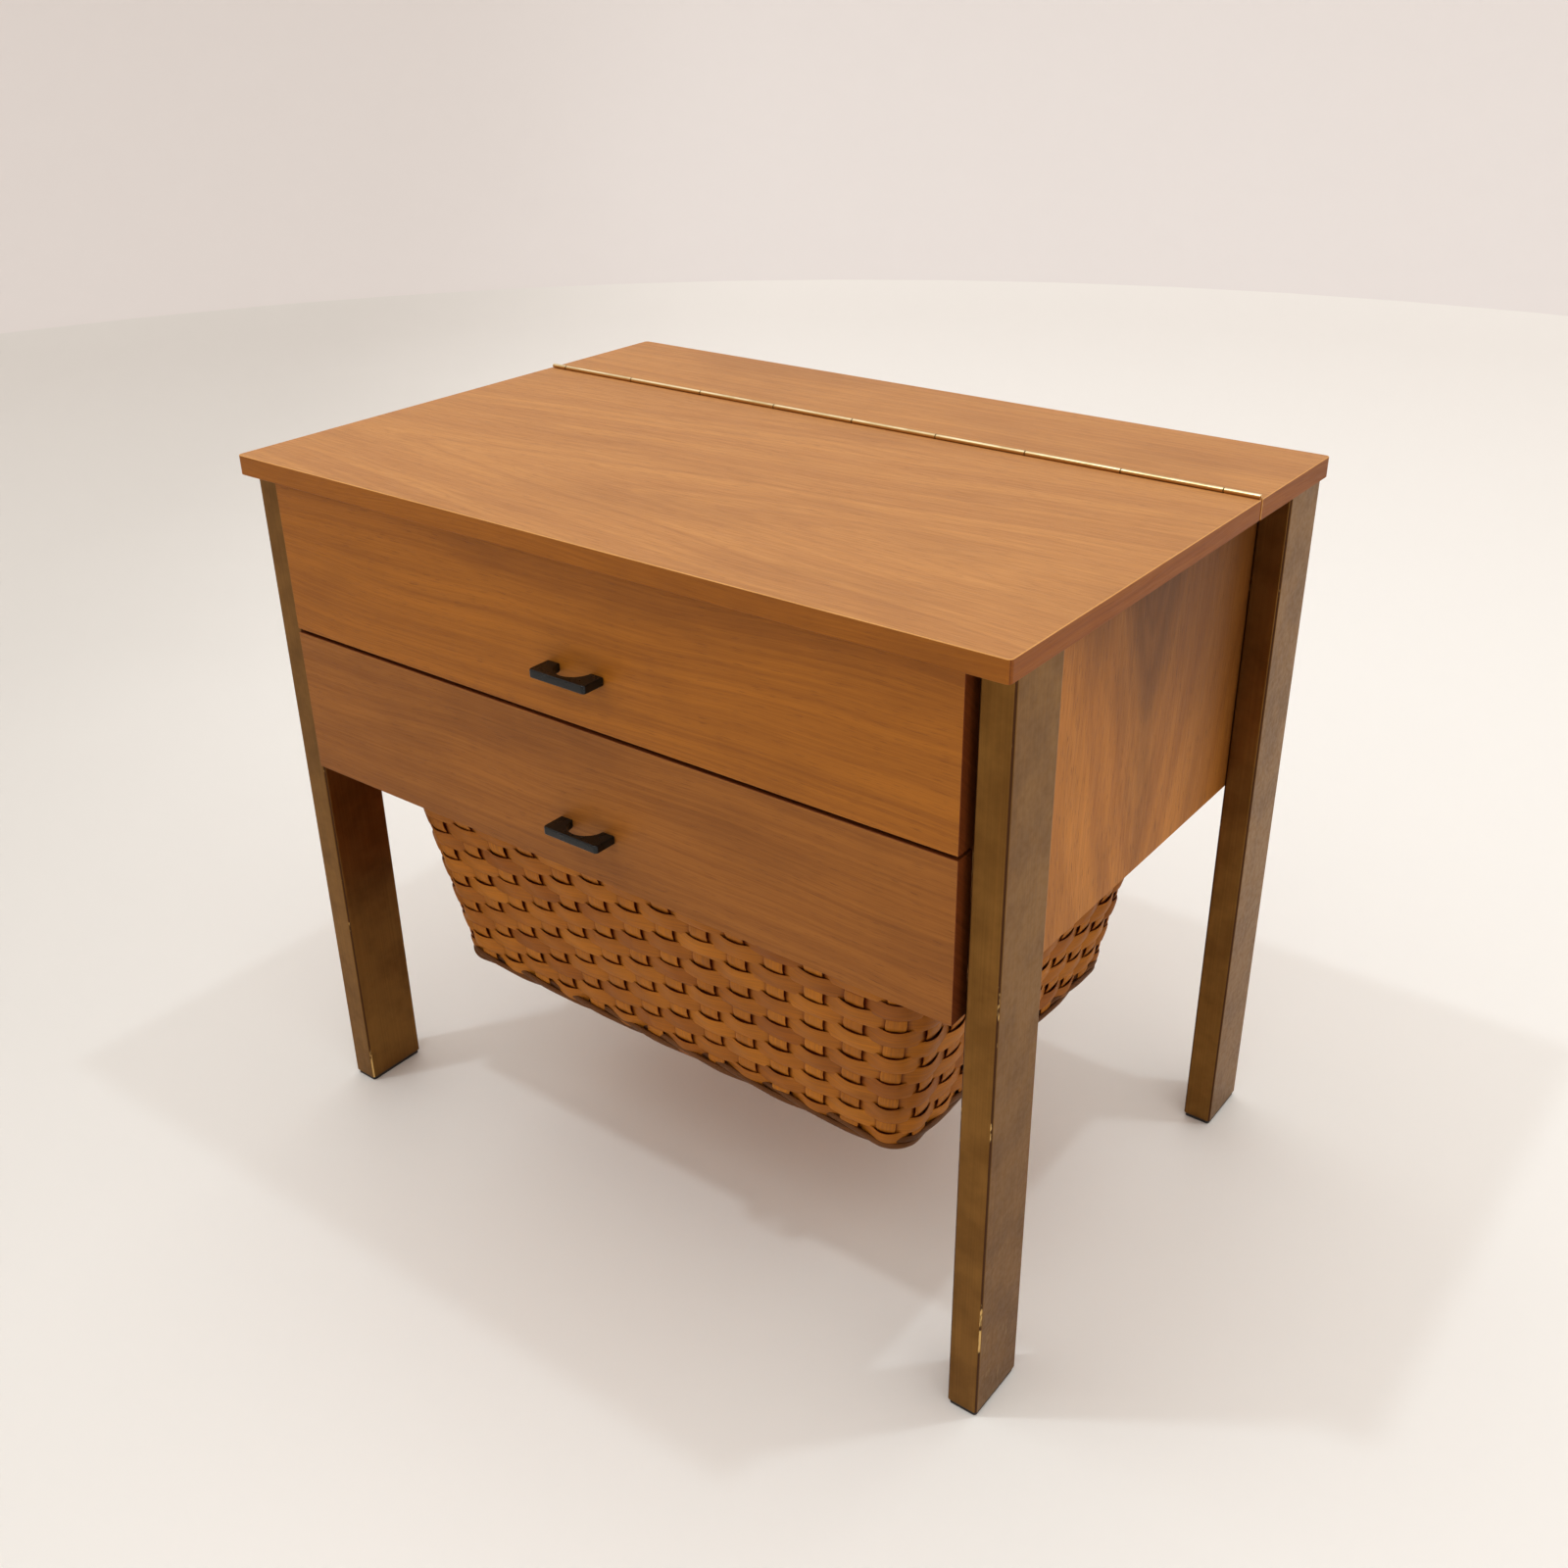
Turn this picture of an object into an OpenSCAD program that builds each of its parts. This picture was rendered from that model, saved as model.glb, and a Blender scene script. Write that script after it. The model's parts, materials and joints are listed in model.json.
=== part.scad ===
// Sewing table: a veneered case on four flat metal legs, with a top whose front
// part is a lid on a piano hinge, a fitted drawer, and a pull-out wicker basket.
// Millimetres, +Z up, X across the front, -Y towards the user.
// The origin is on the floor, under the middle of the overall box.

/* [Top] */
// Width of the top
top_w = 600; // [560:5:640]
// Depth of the top, lid and rear strip together
top_d = 415; // [405:5:440]
// Height of the table top above the floor
table_h = 524; // [515:1:560]
// Thickness of the fixed rear strip
top_t = 14; // [12:1:16]
// Depth of the opening lid in front of the hinge
lid_d = 301; // [270:1:310]
// Radius of the outer corners of the top, seen from above
top_corner_r = 3; // [1:0.5:6]

/* [Legs] */
// Width of a leg across the front
leg_w = 21.5; // [18:0.5:24]
// Depth of a leg from front to back
leg_d = 49; // [40:1:55]
// Wall of the leg tube
leg_wall = 2; // [1.5:0.5:3]
// Distance of a leg from the top's side edge
leg_inset_side = 2.5; // [1:0.5:6]
// Distance of a front leg from the top's front edge
leg_inset_front = 11.5; // [8:0.5:16]
// Distance of a rear leg from the top's rear edge
leg_inset_back = 5; // [3:0.5:10]

/* [Case] */
// Height of the side panels' lower edge above the floor
case_bottom = 293; // [285:1:294]
// Thickness of the side panels
panel_t = 13; // [12:0.5:14]
// Thickness of the back panel
back_t = 10; // [6:1:12]
// Depth of the three cross rails
rail_d = 30; // [24:1:36]

/* [Drawers] */
// Thickness of the drawer fronts
front_t = 15; // [13:0.5:15]
// Height of each drawer front
front_h = 106; // [100:1:107]
// Gap between the two drawer fronts
front_split = 2.5; // [1.5:0.5:4]
// Gap between a drawer front and the leg beside it
front_side_gap = 4.5; // [2:0.5:6]
// Distance of the drawer fronts from the top's front edge
front_inset = 6; // [4:0.5:9]
// Thickness of the drawer sides
side_t = 12; // [10:0.5:13]
// Height of the drawer sides
side_h = 82; // [70:1:82]
// Thickness of the loose dividers
divider_t = 6; // [4:0.5:8]

/* [Handles] */
// Width of a handle
handle_w = 46; // [44:1:60]
// How far a handle stands out from its drawer front
handle_reach = 17.5; // [16:0.5:22]
// Thickness of a handle, top to bottom
handle_t = 5.7; // [5:0.1:8]
// Height of a handle above the lower edge of its front
handle_up = 36; // [30:1:60]

/* [Basket] */
// Width of the basket across its bottom
basket_w = 408; // [380:2:412]
// Depth of the basket from front to back at its bottom
basket_d = 280; // [260:2:284]
// Height of the basket's bottom above the floor
basket_z = 126; // [120:1:150]
// How much each wall leans out for each millimetre of height
basket_lean = 0.17; // [0.1:0.01:0.17]
// Thickness of the woven wall
basket_wall = 5; // [4:0.5:7]

/* [Hinge] */
// Outer diameter of the hinge knuckles
knuckle_d = 3.4; // [3:0.1:3.6]
// Length of one knuckle
knuckle_len = 70; // [50:5:75]
// Thickness of a hinge leaf
leaf_t = 0.8; // [0.6:0.1:0.8]

/* [Hidden] */

left = -1;
right = 1;
fine = 48;
eps = 0.01;

// Clearances
slide_gap = 0.4; // between a drawer and its runner
screw_gap = 0.1; // around a screw in wood, on the radius
pin_gap = 0.05; // around the hinge pin, on the radius
bottom_gap = 0.05; // around the drawer bottom in its grooves

// Top: its front edge and rear edge in Y, and its underside
handle_over = handle_reach - front_inset;
top_front = -(top_d - handle_over) / 2;
top_back = top_front + top_d;
under_top = table_h - top_t;
lid_lift = 0.4;
leaf_gap = 0.4;
hinge_gap = 2 * leaf_t + leaf_gap;
hinge_y = top_front + lid_d + hinge_gap / 2;
knuckle_rise = 1.2;
hinge_z = table_h + knuckle_rise;
hinge_chamfer = 0.7;
plate_drop = 1.2; // from the table top down to the top of the leaf plates

// Legs
leg_out = top_w / 2 - leg_inset_side;
leg_in = leg_out - leg_w;
leg_r = 2;
leg_front = top_front + leg_inset_front;
leg_rear = top_back - leg_inset_back - leg_d;
glide_h = 3;
leg_h = under_top - glide_h;

// Case
panel_out = leg_in;
panel_in = panel_out - panel_t;
case_front = top_front + front_inset + front_t + 0.5;
case_back = top_back - leg_inset_back;
back_y = case_back - 2 - back_t;
rail_t = 12;
middle_rail_t = 10;
middle_rail_z = case_bottom + 104;

// Drawer fronts
front_y = top_front + front_inset;
box_front = front_y + front_t;
front_w = 2 * (leg_in - front_side_gap);
lower_front_z = case_bottom + 1;
upper_front_z = lower_front_z + front_h + front_split;

// Upper drawer box
box_half = panel_in - 5;
side_z = middle_rail_z + middle_rail_t + 5;
box_back = back_y - 10;
bottom_t = 4;
bottom_z = side_z + 6;
bottom_groove = 4;
box_back_t = 10;
divider_h = 46;
divider_y = box_front + 190;
cell_count = 4;

// Runners and the grooves that ride on them
groove_depth = 5;
groove_h = 10;
runner_h = groove_h - 2 * slide_gap;
runner_w = panel_in - box_half + groove_depth - slide_gap;
upper_runner_z = side_z + side_h / 2;
runner_y = case_front + 2;
runner_len = back_y - runner_y - 10;

// Basket and its frame
basket_h = 196;
basket_r = 20;
basket_rim_r = 34;
basket_mid_y = top_front + 63.5 + basket_d / 2;
rim_h = 10;
rim_out = 7;
rim_z = basket_z + basket_h - rim_h;
rim_grow = basket_lean * (basket_h - rim_h);
rim_half_x = basket_w / 2 + rim_grow;
rim_half_y = basket_d / 2 + rim_grow;
ledge_gap = 0.6;
ledge_h = 11.7;
rail_z = rim_z - 0.3 - ledge_h;
rail_h = 34;
rail_back = back_y - 4;
lower_runner_z = rail_z + 18;

// Fasteners: shank diameter, head diameter, head height
wood_screw = [3, 6, 2.4];
hinge_screw = [2.2, 4, 1.6];
handle_screw = [3.4, 7.5, 2.6];
leg_bolt = [6, 12, 3.3];
runner_screw_y = [for (i = [0:2]) runner_y + 30 + i * (runner_len - 60) / 2];
hinge_screw_x = [for (i = [0:7]) -262.5 + i * 75];
strip_screw_x = [for (i = [0:3]) -210 + i * 140];
leg_bolt_z = [rail_z + 62, upper_runner_z - 30, upper_runner_z + 24];
leg_mid_y = [leg_front + leg_d / 2, leg_rear + leg_d / 2];

walnut = [0.66, 0.43, 0.24];
walnut_dark = [0.55, 0.33, 0.18];
beech = [0.80, 0.66, 0.46];
bronze = [0.36, 0.29, 0.18];
brass = [0.82, 0.68, 0.38];
steel = [0.62, 0.62, 0.60];
black = [0.08, 0.09, 0.09];
wicker = [0.68, 0.46, 0.22];

// ---------- general shapes ----------

// A board from one corner to the opposite one
module board(low, high) {
    translate(low) cube(high - low);
}

// A rectangle with round corners, centred
module round_rect(w, d, r) {
    square([w - 2 * r, d], center = true);
    square([w, d - 2 * r], center = true);
    for (x = [-1, 1], y = [-1, 1])
        translate([x * (w / 2 - r), y * (d / 2 - r)]) circle(r = r, $fn = fine);
}

// A board of the top: round outer corners on the side away from the hinge
module top_board(w, d, t, r) {
    linear_extrude(t) {
        translate([-w / 2 + r, 0]) square([w - 2 * r, d]);
        translate([-w / 2, r]) square([w, d - r]);
        for (x = [-1, 1]) translate([x * (w / 2 - r), r]) circle(r = r, $fn = fine);
    }
}

// A pan-head screw or bolt along +Z: the head's flat face lies on z = 0, the shank goes up
module pan_screw(size, len) {
    cylinder(d = size[0], h = len, $fn = fine);
    translate([0, 0, -size[2]]) cylinder(d1 = size[1] * 0.8, d2 = size[1], h = size[2], $fn = fine);
}

// A countersunk screw along +Z: the head's top is flush with z = 0
module flat_screw(size, len, grow = 0) {
    cylinder(d = size[0] + 2 * grow, h = len, $fn = fine);
    cylinder(d1 = size[1] + 2 * grow, d2 = size[0] + 2 * grow, h = size[2], $fn = fine);
}

// Turn something built along +Z to point along +X or -X
module point_x(side) {
    rotate([0, side * 90, 0]) children();
}

// Turn something built along +Z to point along +Y or -Y
module point_y(side) {
    rotate([-side * 90, 0, 0]) children();
}

// Keep a right-hand form, or mirror it to the left
module to_side(side) {
    mirror([side > 0 ? 0 : 1, 0, 0]) children();
}

// ---------- case ----------

module each_leg_bolt(side, y) {
    for (z = leg_bolt_z) translate([side * panel_in, y, z]) point_x(side) children();
}

module each_runner_screw(side, z) {
    for (y = runner_screw_y)
        translate([side * (panel_in - runner_w), y, z]) point_x(side) children();
}

module side_panel(side) {
    color(walnut) difference() {
        to_side(side)
            board([panel_in, case_front, case_bottom], [panel_out, case_back, under_top]);
        for (y = leg_mid_y) each_leg_bolt(side, y)
            translate([0, 0, -1]) cylinder(d = leg_bolt[0] + 0.4, h = panel_t + 2, $fn = fine);
        for (z = [lower_runner_z, upper_runner_z])
            each_runner_screw(side, z) flat_screw(wood_screw, 18.2, screw_gap);
    }
}

module back_panel() {
    color(walnut_dark)
        board([-panel_in, back_y, case_bottom], [panel_in, back_y + back_t, under_top]);
}

module cross_rail(y, z, t) {
    color(beech) board([-panel_in, y, z], [panel_in, y + rail_d, z + t]);
}

module front_top_rail() {
    cross_rail(case_front + 0.5, under_top - rail_t, rail_t);
}

module front_middle_rail() {
    cross_rail(case_front + 0.5, middle_rail_z, middle_rail_t);
}

module each_strip_screw() {
    for (x = strip_screw_x)
        translate([x, hinge_y + 3 + rail_d / 2, under_top - rail_t]) children();
}

module rear_top_rail() {
    difference() {
        cross_rail(hinge_y + 3, under_top - rail_t, rail_t);
        each_strip_screw() flat_screw(wood_screw, 22.2, screw_gap);
    }
}

module strip_screws() {
    color(steel) each_strip_screw() flat_screw(wood_screw, 22);
}

module runner(side, z) {
    color(beech) difference() {
        to_side(side) board(
            [panel_in - runner_w, runner_y, z - runner_h / 2],
            [panel_in, runner_y + runner_len, z + runner_h / 2]
        );
        each_runner_screw(side, z) flat_screw(wood_screw, 18.2, screw_gap);
    }
}

module runner_screws() {
    color(steel) for (side = [left, right], z = [lower_runner_z, upper_runner_z])
        each_runner_screw(side, z) flat_screw(wood_screw, 18);
}

// The long cut along a hinge edge that makes room for the knuckles
module knuckle_room(y) {
    translate([0, y, table_h]) rotate([45, 0, 0])
        cube([top_w + 10, hinge_chamfer * sqrt(2), hinge_chamfer * sqrt(2)], center = true);
}

module rear_top_strip() {
    strip_d = top_d - lid_d - hinge_gap;
    color(walnut) difference() {
        translate([0, top_back, under_top]) mirror([0, 1, 0])
            top_board(top_w, strip_d, top_t, top_corner_r);
        knuckle_room(hinge_y + hinge_gap / 2);
        each_hinge_screw(1) flat_screw(hinge_screw, 14.2, screw_gap);
        each_strip_screw() flat_screw(wood_screw, 22.2, screw_gap);
    }
}

// ---------- legs ----------

module leg(side, y) {
    color(bronze) difference() {
        translate([side * (leg_in + leg_w / 2), y + leg_d / 2, glide_h]) difference() {
            linear_extrude(leg_h) round_rect(leg_w, leg_d, leg_r);
            translate([0, 0, -1]) linear_extrude(leg_h - leg_wall + 1)
                round_rect(leg_w - 2 * leg_wall, leg_d - 2 * leg_wall, 0.5);
        }
        each_leg_bolt(side, y + leg_d / 2)
            cylinder(d = leg_bolt[0] + 0.4, h = panel_t + leg_wall + 1, $fn = fine);
    }
}

// A plug that fills the open end of a leg and stands a little below it
module leg_glide(side, y) {
    plug_w = leg_w - 2 * leg_wall - 0.2;
    plug_d = leg_d - 2 * leg_wall - 0.2;
    color(black) translate([side * (leg_in + leg_w / 2), y, 0]) {
        linear_extrude(glide_h) round_rect(leg_w - 2, leg_d - 2, leg_r);
        linear_extrude(glide_h + 14) round_rect(plug_w, plug_d, 0.5);
    }
}

module leg_bolts(side, y) {
    color(steel) each_leg_bolt(side, y) pan_screw(leg_bolt, panel_t + leg_wall + 9);
}

module leg_nuts(side, y) {
    nut_h = 5;
    color(steel) each_leg_bolt(side, y) translate([0, 0, panel_t + leg_wall]) difference() {
        cylinder(d = 11.5, h = nut_h, $fn = 6);
        translate([0, 0, -1]) cylinder(d = leg_bolt[0] + 0.2, h = nut_h + 2, $fn = fine);
    }
}

// ---------- lid and hinge ----------

module each_hinge_screw(side) {
    for (x = hinge_screw_x)
        translate([x, hinge_y + side * leaf_gap / 2, table_h - 7]) point_y(side) children();
}

// One leaf of the piano hinge, with every second knuckle
module hinge_leaf(side, first) {
    hinge_end = top_w / 2 - 1;
    plate_bottom = under_top + 1.5;
    plate_top = table_h - plate_drop;
    web_overlap = 2;
    knuckle_gap = 0.3;
    inner = hinge_y + side * leaf_gap / 2;
    outer = inner + side * leaf_t;
    breaks = [for (k = [0:8]) -285 + k * knuckle_len];
    ends = concat([-hinge_end], [for (x = breaks) if (x < hinge_end) x], [hinge_end]);
    count = len(ends) - 1;
    color(brass) difference() {
        union() {
            board(
                [-hinge_end, min(inner, outer), plate_bottom],
                [hinge_end, max(inner, outer), plate_top]
            );
            for (i = [first:2:count - 1]) {
                low = ends[i] + knuckle_gap / 2;
                long = ends[i + 1] - ends[i] - knuckle_gap;
                translate([low, hinge_y, hinge_z]) point_x(1)
                    cylinder(d = knuckle_d, h = long, $fn = fine);
                board(
                    [low, min(inner, outer), plate_top - web_overlap],
                    [low + long, max(inner, outer), hinge_z]
                );
            }
        }
        translate([-top_w, hinge_y, hinge_z]) point_x(1)
            cylinder(d = knuckle_d / 2 + 2 * pin_gap, h = 2 * top_w, $fn = fine);
        each_hinge_screw(side) flat_screw(hinge_screw, 14.2, screw_gap);
    }
}

module hinge_pin() {
    color(brass) translate([-top_w / 2 + 0.6, hinge_y, hinge_z]) point_x(1)
        cylinder(d = knuckle_d / 2, h = top_w - 1.2, $fn = fine);
}

module hinge_screws(side) {
    color(brass) each_hinge_screw(side) flat_screw(hinge_screw, 14);
}

module lid() {
    color(walnut) difference() {
        translate([0, top_front, under_top + lid_lift])
            top_board(top_w, lid_d, top_t - lid_lift, top_corner_r);
        knuckle_room(hinge_y - hinge_gap / 2);
        each_hinge_screw(-1) flat_screw(hinge_screw, 14.2, screw_gap);
    }
}

// ---------- drawer fronts and handles ----------

module each_handle_screw(z) {
    for (x = [-1, 1])
        translate([x * (handle_w / 2 - 5), box_front, z + handle_up]) point_y(-1) children();
}

module drawer_front(z) {
    color(walnut) difference() {
        board([-front_w / 2, front_y, z], [front_w / 2, box_front, z + front_h]);
        each_handle_screw(z) translate([0, 0, -1])
            cylinder(d = handle_screw[0] + 2 * screw_gap, h = front_t + 2, $fn = fine);
    }
}

// A flat plate that lies level, with straight sides and a half-oval finger opening
module handle(z) {
    corner_r = 2.5;
    finger_w = handle_w - 19;
    finger_d = handle_reach - 4;
    color(black) difference() {
        translate([0, front_y, z + handle_up - handle_t / 2]) mirror([0, 1, 0])
            linear_extrude(handle_t) difference() {
                union() {
                    translate([-handle_w / 2, 0]) square([handle_w, handle_reach - corner_r]);
                    translate([-handle_w / 2 + corner_r, 0])
                        square([handle_w - 2 * corner_r, handle_reach]);
                    for (x = [-1, 1])
                        translate([x * (handle_w / 2 - corner_r), handle_reach - corner_r])
                            circle(r = corner_r, $fn = fine);
                }
                polygon([for (a = [0:6:180]) [finger_w / 2 * cos(a), finger_d * sin(a)]]);
            }
        each_handle_screw(z) translate([0, 0, front_t - 1])
            cylinder(d = handle_screw[0] + 2 * screw_gap, h = 9.2, $fn = fine);
    }
}

module handle_screws(z) {
    color(steel) each_handle_screw(z) pan_screw(handle_screw, front_t + 8);
}

// ---------- upper drawer ----------

module upper_drawer_side(side) {
    inner = box_half - side_t;
    color(beech) to_side(side) difference() {
        board([inner, box_front, side_z], [box_half, box_back, side_z + side_h]);
        // groove on the outside for the runner
        board(
            [box_half - groove_depth, box_front + 1, upper_runner_z - groove_h / 2],
            [box_half + 1, box_back + 1, upper_runner_z + groove_h / 2]
        );
        // groove on the inside for the bottom
        board(
            [inner - 1, box_front - 1, bottom_z - bottom_gap],
            [inner + bottom_groove + bottom_gap, box_back + 1, bottom_z + bottom_t + bottom_gap]
        );
    }
}

module upper_drawer_back() {
    inner = box_half - side_t;
    color(beech) board(
        [-inner, box_back - box_back_t, bottom_z + bottom_t + bottom_gap],
        [inner, box_back, side_z + side_h - 6]
    );
}

module upper_drawer_bottom() {
    half = box_half - side_t + bottom_groove;
    color(beech) board([-half, box_front, bottom_z], [half, box_back - 1, bottom_z + bottom_t]);
}

module upper_drawer_long_divider() {
    inner = box_half - side_t;
    color(beech) board(
        [-inner, divider_y, bottom_z + bottom_t],
        [inner, divider_y + divider_t, bottom_z + bottom_t + divider_h]
    );
}

// One of the dividers between the front cells, counted from the left
module upper_drawer_short_divider(number) {
    cell = 2 * (box_half - side_t) / cell_count;
    color(beech) translate([-box_half + side_t + number * cell, 0, 0]) board(
        [-divider_t / 2, box_front, bottom_z + bottom_t],
        [divider_t / 2, divider_y, bottom_z + bottom_t + divider_h]
    );
}

// ---------- basket and its sliding frame ----------

// A frame rail with a ledge that the basket's rim rests on
module basket_rail_side(side) {
    edge = rim_half_x + ledge_gap;
    color(beech) to_side(side) difference() {
        board([edge, box_front, rail_z], [box_half, rail_back, rail_z + rail_h]);
        // rebate that forms the ledge
        board(
            [edge - 1, box_front - 1, rail_z + ledge_h],
            [rim_half_x + rim_out + ledge_gap, rail_back + 1, rail_z + rail_h + 1]
        );
        // groove on the outside for the runner
        board(
            [box_half - groove_depth, box_front + 1, lower_runner_z - groove_h / 2],
            [box_half + 1, rail_back + 1, lower_runner_z + groove_h / 2]
        );
    }
}

module basket_rail_back() {
    edge = rim_half_x + ledge_gap;
    wall = rim_half_x + rim_out + ledge_gap;
    low = basket_mid_y + rim_half_y + ledge_gap;
    step = low + rim_out;
    color(beech) {
        board([-edge, low, rail_z], [edge, rail_back, rail_z + ledge_h]);
        board([-edge, step, rail_z + ledge_h - eps], [edge, rail_back, rail_z + rail_h]);
        for (side = [left, right]) to_side(side)
            board([edge - eps, step, rail_z + ledge_h], [wall, rail_back, rail_z + rail_h]);
    }
}

module basket_rail_front() {
    edge = rim_half_x + ledge_gap;
    high = basket_mid_y - rim_half_y - ledge_gap;
    color(beech) board([-edge, box_front, rail_z], [edge, high, rail_z + ledge_h]);
}

// The basket's outline at a height, thinned by a wall
module basket_slice(up, inset, h) {
    grow = 2 * (basket_lean * up - inset);
    r = basket_r + (basket_rim_r - basket_r) * up / basket_h - inset;
    translate([0, basket_mid_y, basket_z + up]) linear_extrude(h)
        round_rect(basket_w + grow, basket_d + grow, r, $fn = 32);
}

module basket() {
    color(wicker) difference() {
        hull() {
            basket_slice(0, 0, eps);
            basket_slice(basket_h - rim_h, 0, eps);
        }
        hull() {
            basket_slice(basket_wall, basket_wall, eps);
            basket_slice(basket_h - rim_h + 1, basket_wall, eps);
        }
    }
}

// The stiff border that closes the weave at the top
module basket_rim() {
    w = 2 * rim_half_x;
    d = 2 * rim_half_y;
    color(wicker) translate([0, basket_mid_y, rim_z + eps]) linear_extrude(rim_h) difference() {
        round_rect(w + 2 * rim_out, d + 2 * rim_out, basket_rim_r + rim_out);
        round_rect(w - 2 * basket_wall, d - 2 * basket_wall, basket_rim_r - basket_wall);
    }
}

// ---------- nodes ----------

side_panel(left);  // side_panel_left
side_panel(right);  // side_panel_right
back_panel();
rear_top_strip();
front_top_rail();
front_middle_rail();
rear_top_rail();
runner(left, upper_runner_z);  // runner_upper_left
runner(right, upper_runner_z);  // runner_upper_right
runner(left, lower_runner_z);  // runner_lower_left
runner(right, lower_runner_z);  // runner_lower_right
runner_screws();
strip_screws();
leg(left, leg_front);  // leg_front_left
leg(right, leg_front);  // leg_front_right
leg(left, leg_rear);  // leg_rear_left
leg(right, leg_rear);  // leg_rear_right
leg_glide(left, leg_mid_y[0]);  // leg_glide_front_left
leg_glide(right, leg_mid_y[0]);  // leg_glide_front_right
leg_glide(left, leg_mid_y[1]);  // leg_glide_rear_left
leg_glide(right, leg_mid_y[1]);  // leg_glide_rear_right
leg_bolts(left, leg_mid_y[0]);  // leg_bolts_front_left
leg_bolts(right, leg_mid_y[0]);  // leg_bolts_front_right
leg_bolts(left, leg_mid_y[1]);  // leg_bolts_rear_left
leg_bolts(right, leg_mid_y[1]);  // leg_bolts_rear_right
leg_nuts(left, leg_mid_y[0]);  // leg_nuts_front_left
leg_nuts(right, leg_mid_y[0]);  // leg_nuts_front_right
leg_nuts(left, leg_mid_y[1]);  // leg_nuts_rear_left
leg_nuts(right, leg_mid_y[1]);  // leg_nuts_rear_right
hinge_leaf(1, 0);  // hinge_leaf_rear
hinge_pin();
hinge_screws(1);  // hinge_screws_rear
lid();
hinge_leaf(-1, 1);  // hinge_leaf_lid
hinge_screws(-1);  // hinge_screws_lid
drawer_front(upper_front_z);  // upper_drawer_front
upper_drawer_side(left);  // upper_drawer_side_left
upper_drawer_side(right);  // upper_drawer_side_right
upper_drawer_back();
upper_drawer_bottom();
upper_drawer_long_divider();
upper_drawer_short_divider(1);  // upper_drawer_short_divider_1
upper_drawer_short_divider(2);  // upper_drawer_short_divider_2
upper_drawer_short_divider(3);  // upper_drawer_short_divider_3
handle(upper_front_z);  // upper_handle
handle_screws(upper_front_z);  // upper_handle_screws
drawer_front(lower_front_z);  // basket_drawer_front
basket_rail_side(left);  // basket_rail_left
basket_rail_side(right);  // basket_rail_right
basket_rail_back();
basket_rail_front();
basket();
basket_rim();
handle(lower_front_z);  // lower_handle
handle_screws(lower_front_z);  // lower_handle_screws
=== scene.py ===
"""Looks for the sewing table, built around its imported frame. Metres, +Z up.

Boards, legs and handles are rounded copies of their CAD nodes with veneer, bronze and black
finishes. The basket is really woven: upright stakes, rows of flat splint that pass over one
and under one, a plaited bottom, a rolled foot border and a lashed rim."""

import json
import math

import bmesh
import bpy
import numpy as np
from mathutils import Matrix, Vector


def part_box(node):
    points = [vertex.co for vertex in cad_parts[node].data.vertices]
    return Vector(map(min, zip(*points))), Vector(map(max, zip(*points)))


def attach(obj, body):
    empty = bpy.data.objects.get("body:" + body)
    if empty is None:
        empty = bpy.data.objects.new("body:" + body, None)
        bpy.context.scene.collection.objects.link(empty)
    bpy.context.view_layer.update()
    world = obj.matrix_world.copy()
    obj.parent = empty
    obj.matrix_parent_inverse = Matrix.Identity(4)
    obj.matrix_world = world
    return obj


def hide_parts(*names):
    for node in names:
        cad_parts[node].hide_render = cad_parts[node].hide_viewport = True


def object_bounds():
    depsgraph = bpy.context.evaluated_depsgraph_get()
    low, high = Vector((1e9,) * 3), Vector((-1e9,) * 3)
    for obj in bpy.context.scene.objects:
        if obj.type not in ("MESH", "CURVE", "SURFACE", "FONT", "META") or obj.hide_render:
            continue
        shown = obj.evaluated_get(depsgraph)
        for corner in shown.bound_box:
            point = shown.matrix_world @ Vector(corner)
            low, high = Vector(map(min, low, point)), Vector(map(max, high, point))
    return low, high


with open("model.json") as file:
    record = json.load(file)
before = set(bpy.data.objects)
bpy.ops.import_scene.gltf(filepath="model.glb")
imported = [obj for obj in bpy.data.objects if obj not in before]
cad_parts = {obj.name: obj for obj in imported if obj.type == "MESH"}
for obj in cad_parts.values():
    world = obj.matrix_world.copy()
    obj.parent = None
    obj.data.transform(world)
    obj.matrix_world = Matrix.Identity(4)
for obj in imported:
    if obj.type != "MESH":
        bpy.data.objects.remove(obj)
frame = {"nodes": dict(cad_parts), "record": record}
cad_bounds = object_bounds()

NODES = frame["nodes"]
RECORD = frame["record"]
BODY_OF = {n: body for body, nodes in RECORD["behaviour"]["bodies"].items() for n in nodes}
SLOT_OF = {part["node"]: part["material_slot"] for part in RECORD["subparts"]}
MM = 0.001
rng = np.random.default_rng(7)

# The hinge, as in the CAD: its highest line, a knuckle's length, and one gap's place in X
BARREL_TOP = cad_bounds[1][2]
KNUCKLE = 70 * MM
KNUCKLE_GAP_X = -285 * MM


# ---------- colours and node trees ----------

def tone(red, green, blue):
    """A display colour from 0 to 255 as the linear colour that shaders take."""
    def linear(value):
        share = value / 255
        return share / 12.92 if share <= 0.04045 else ((share + 0.055) / 1.055) ** 2.4

    return (linear(red), linear(green), linear(blue), 1.0)


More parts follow.
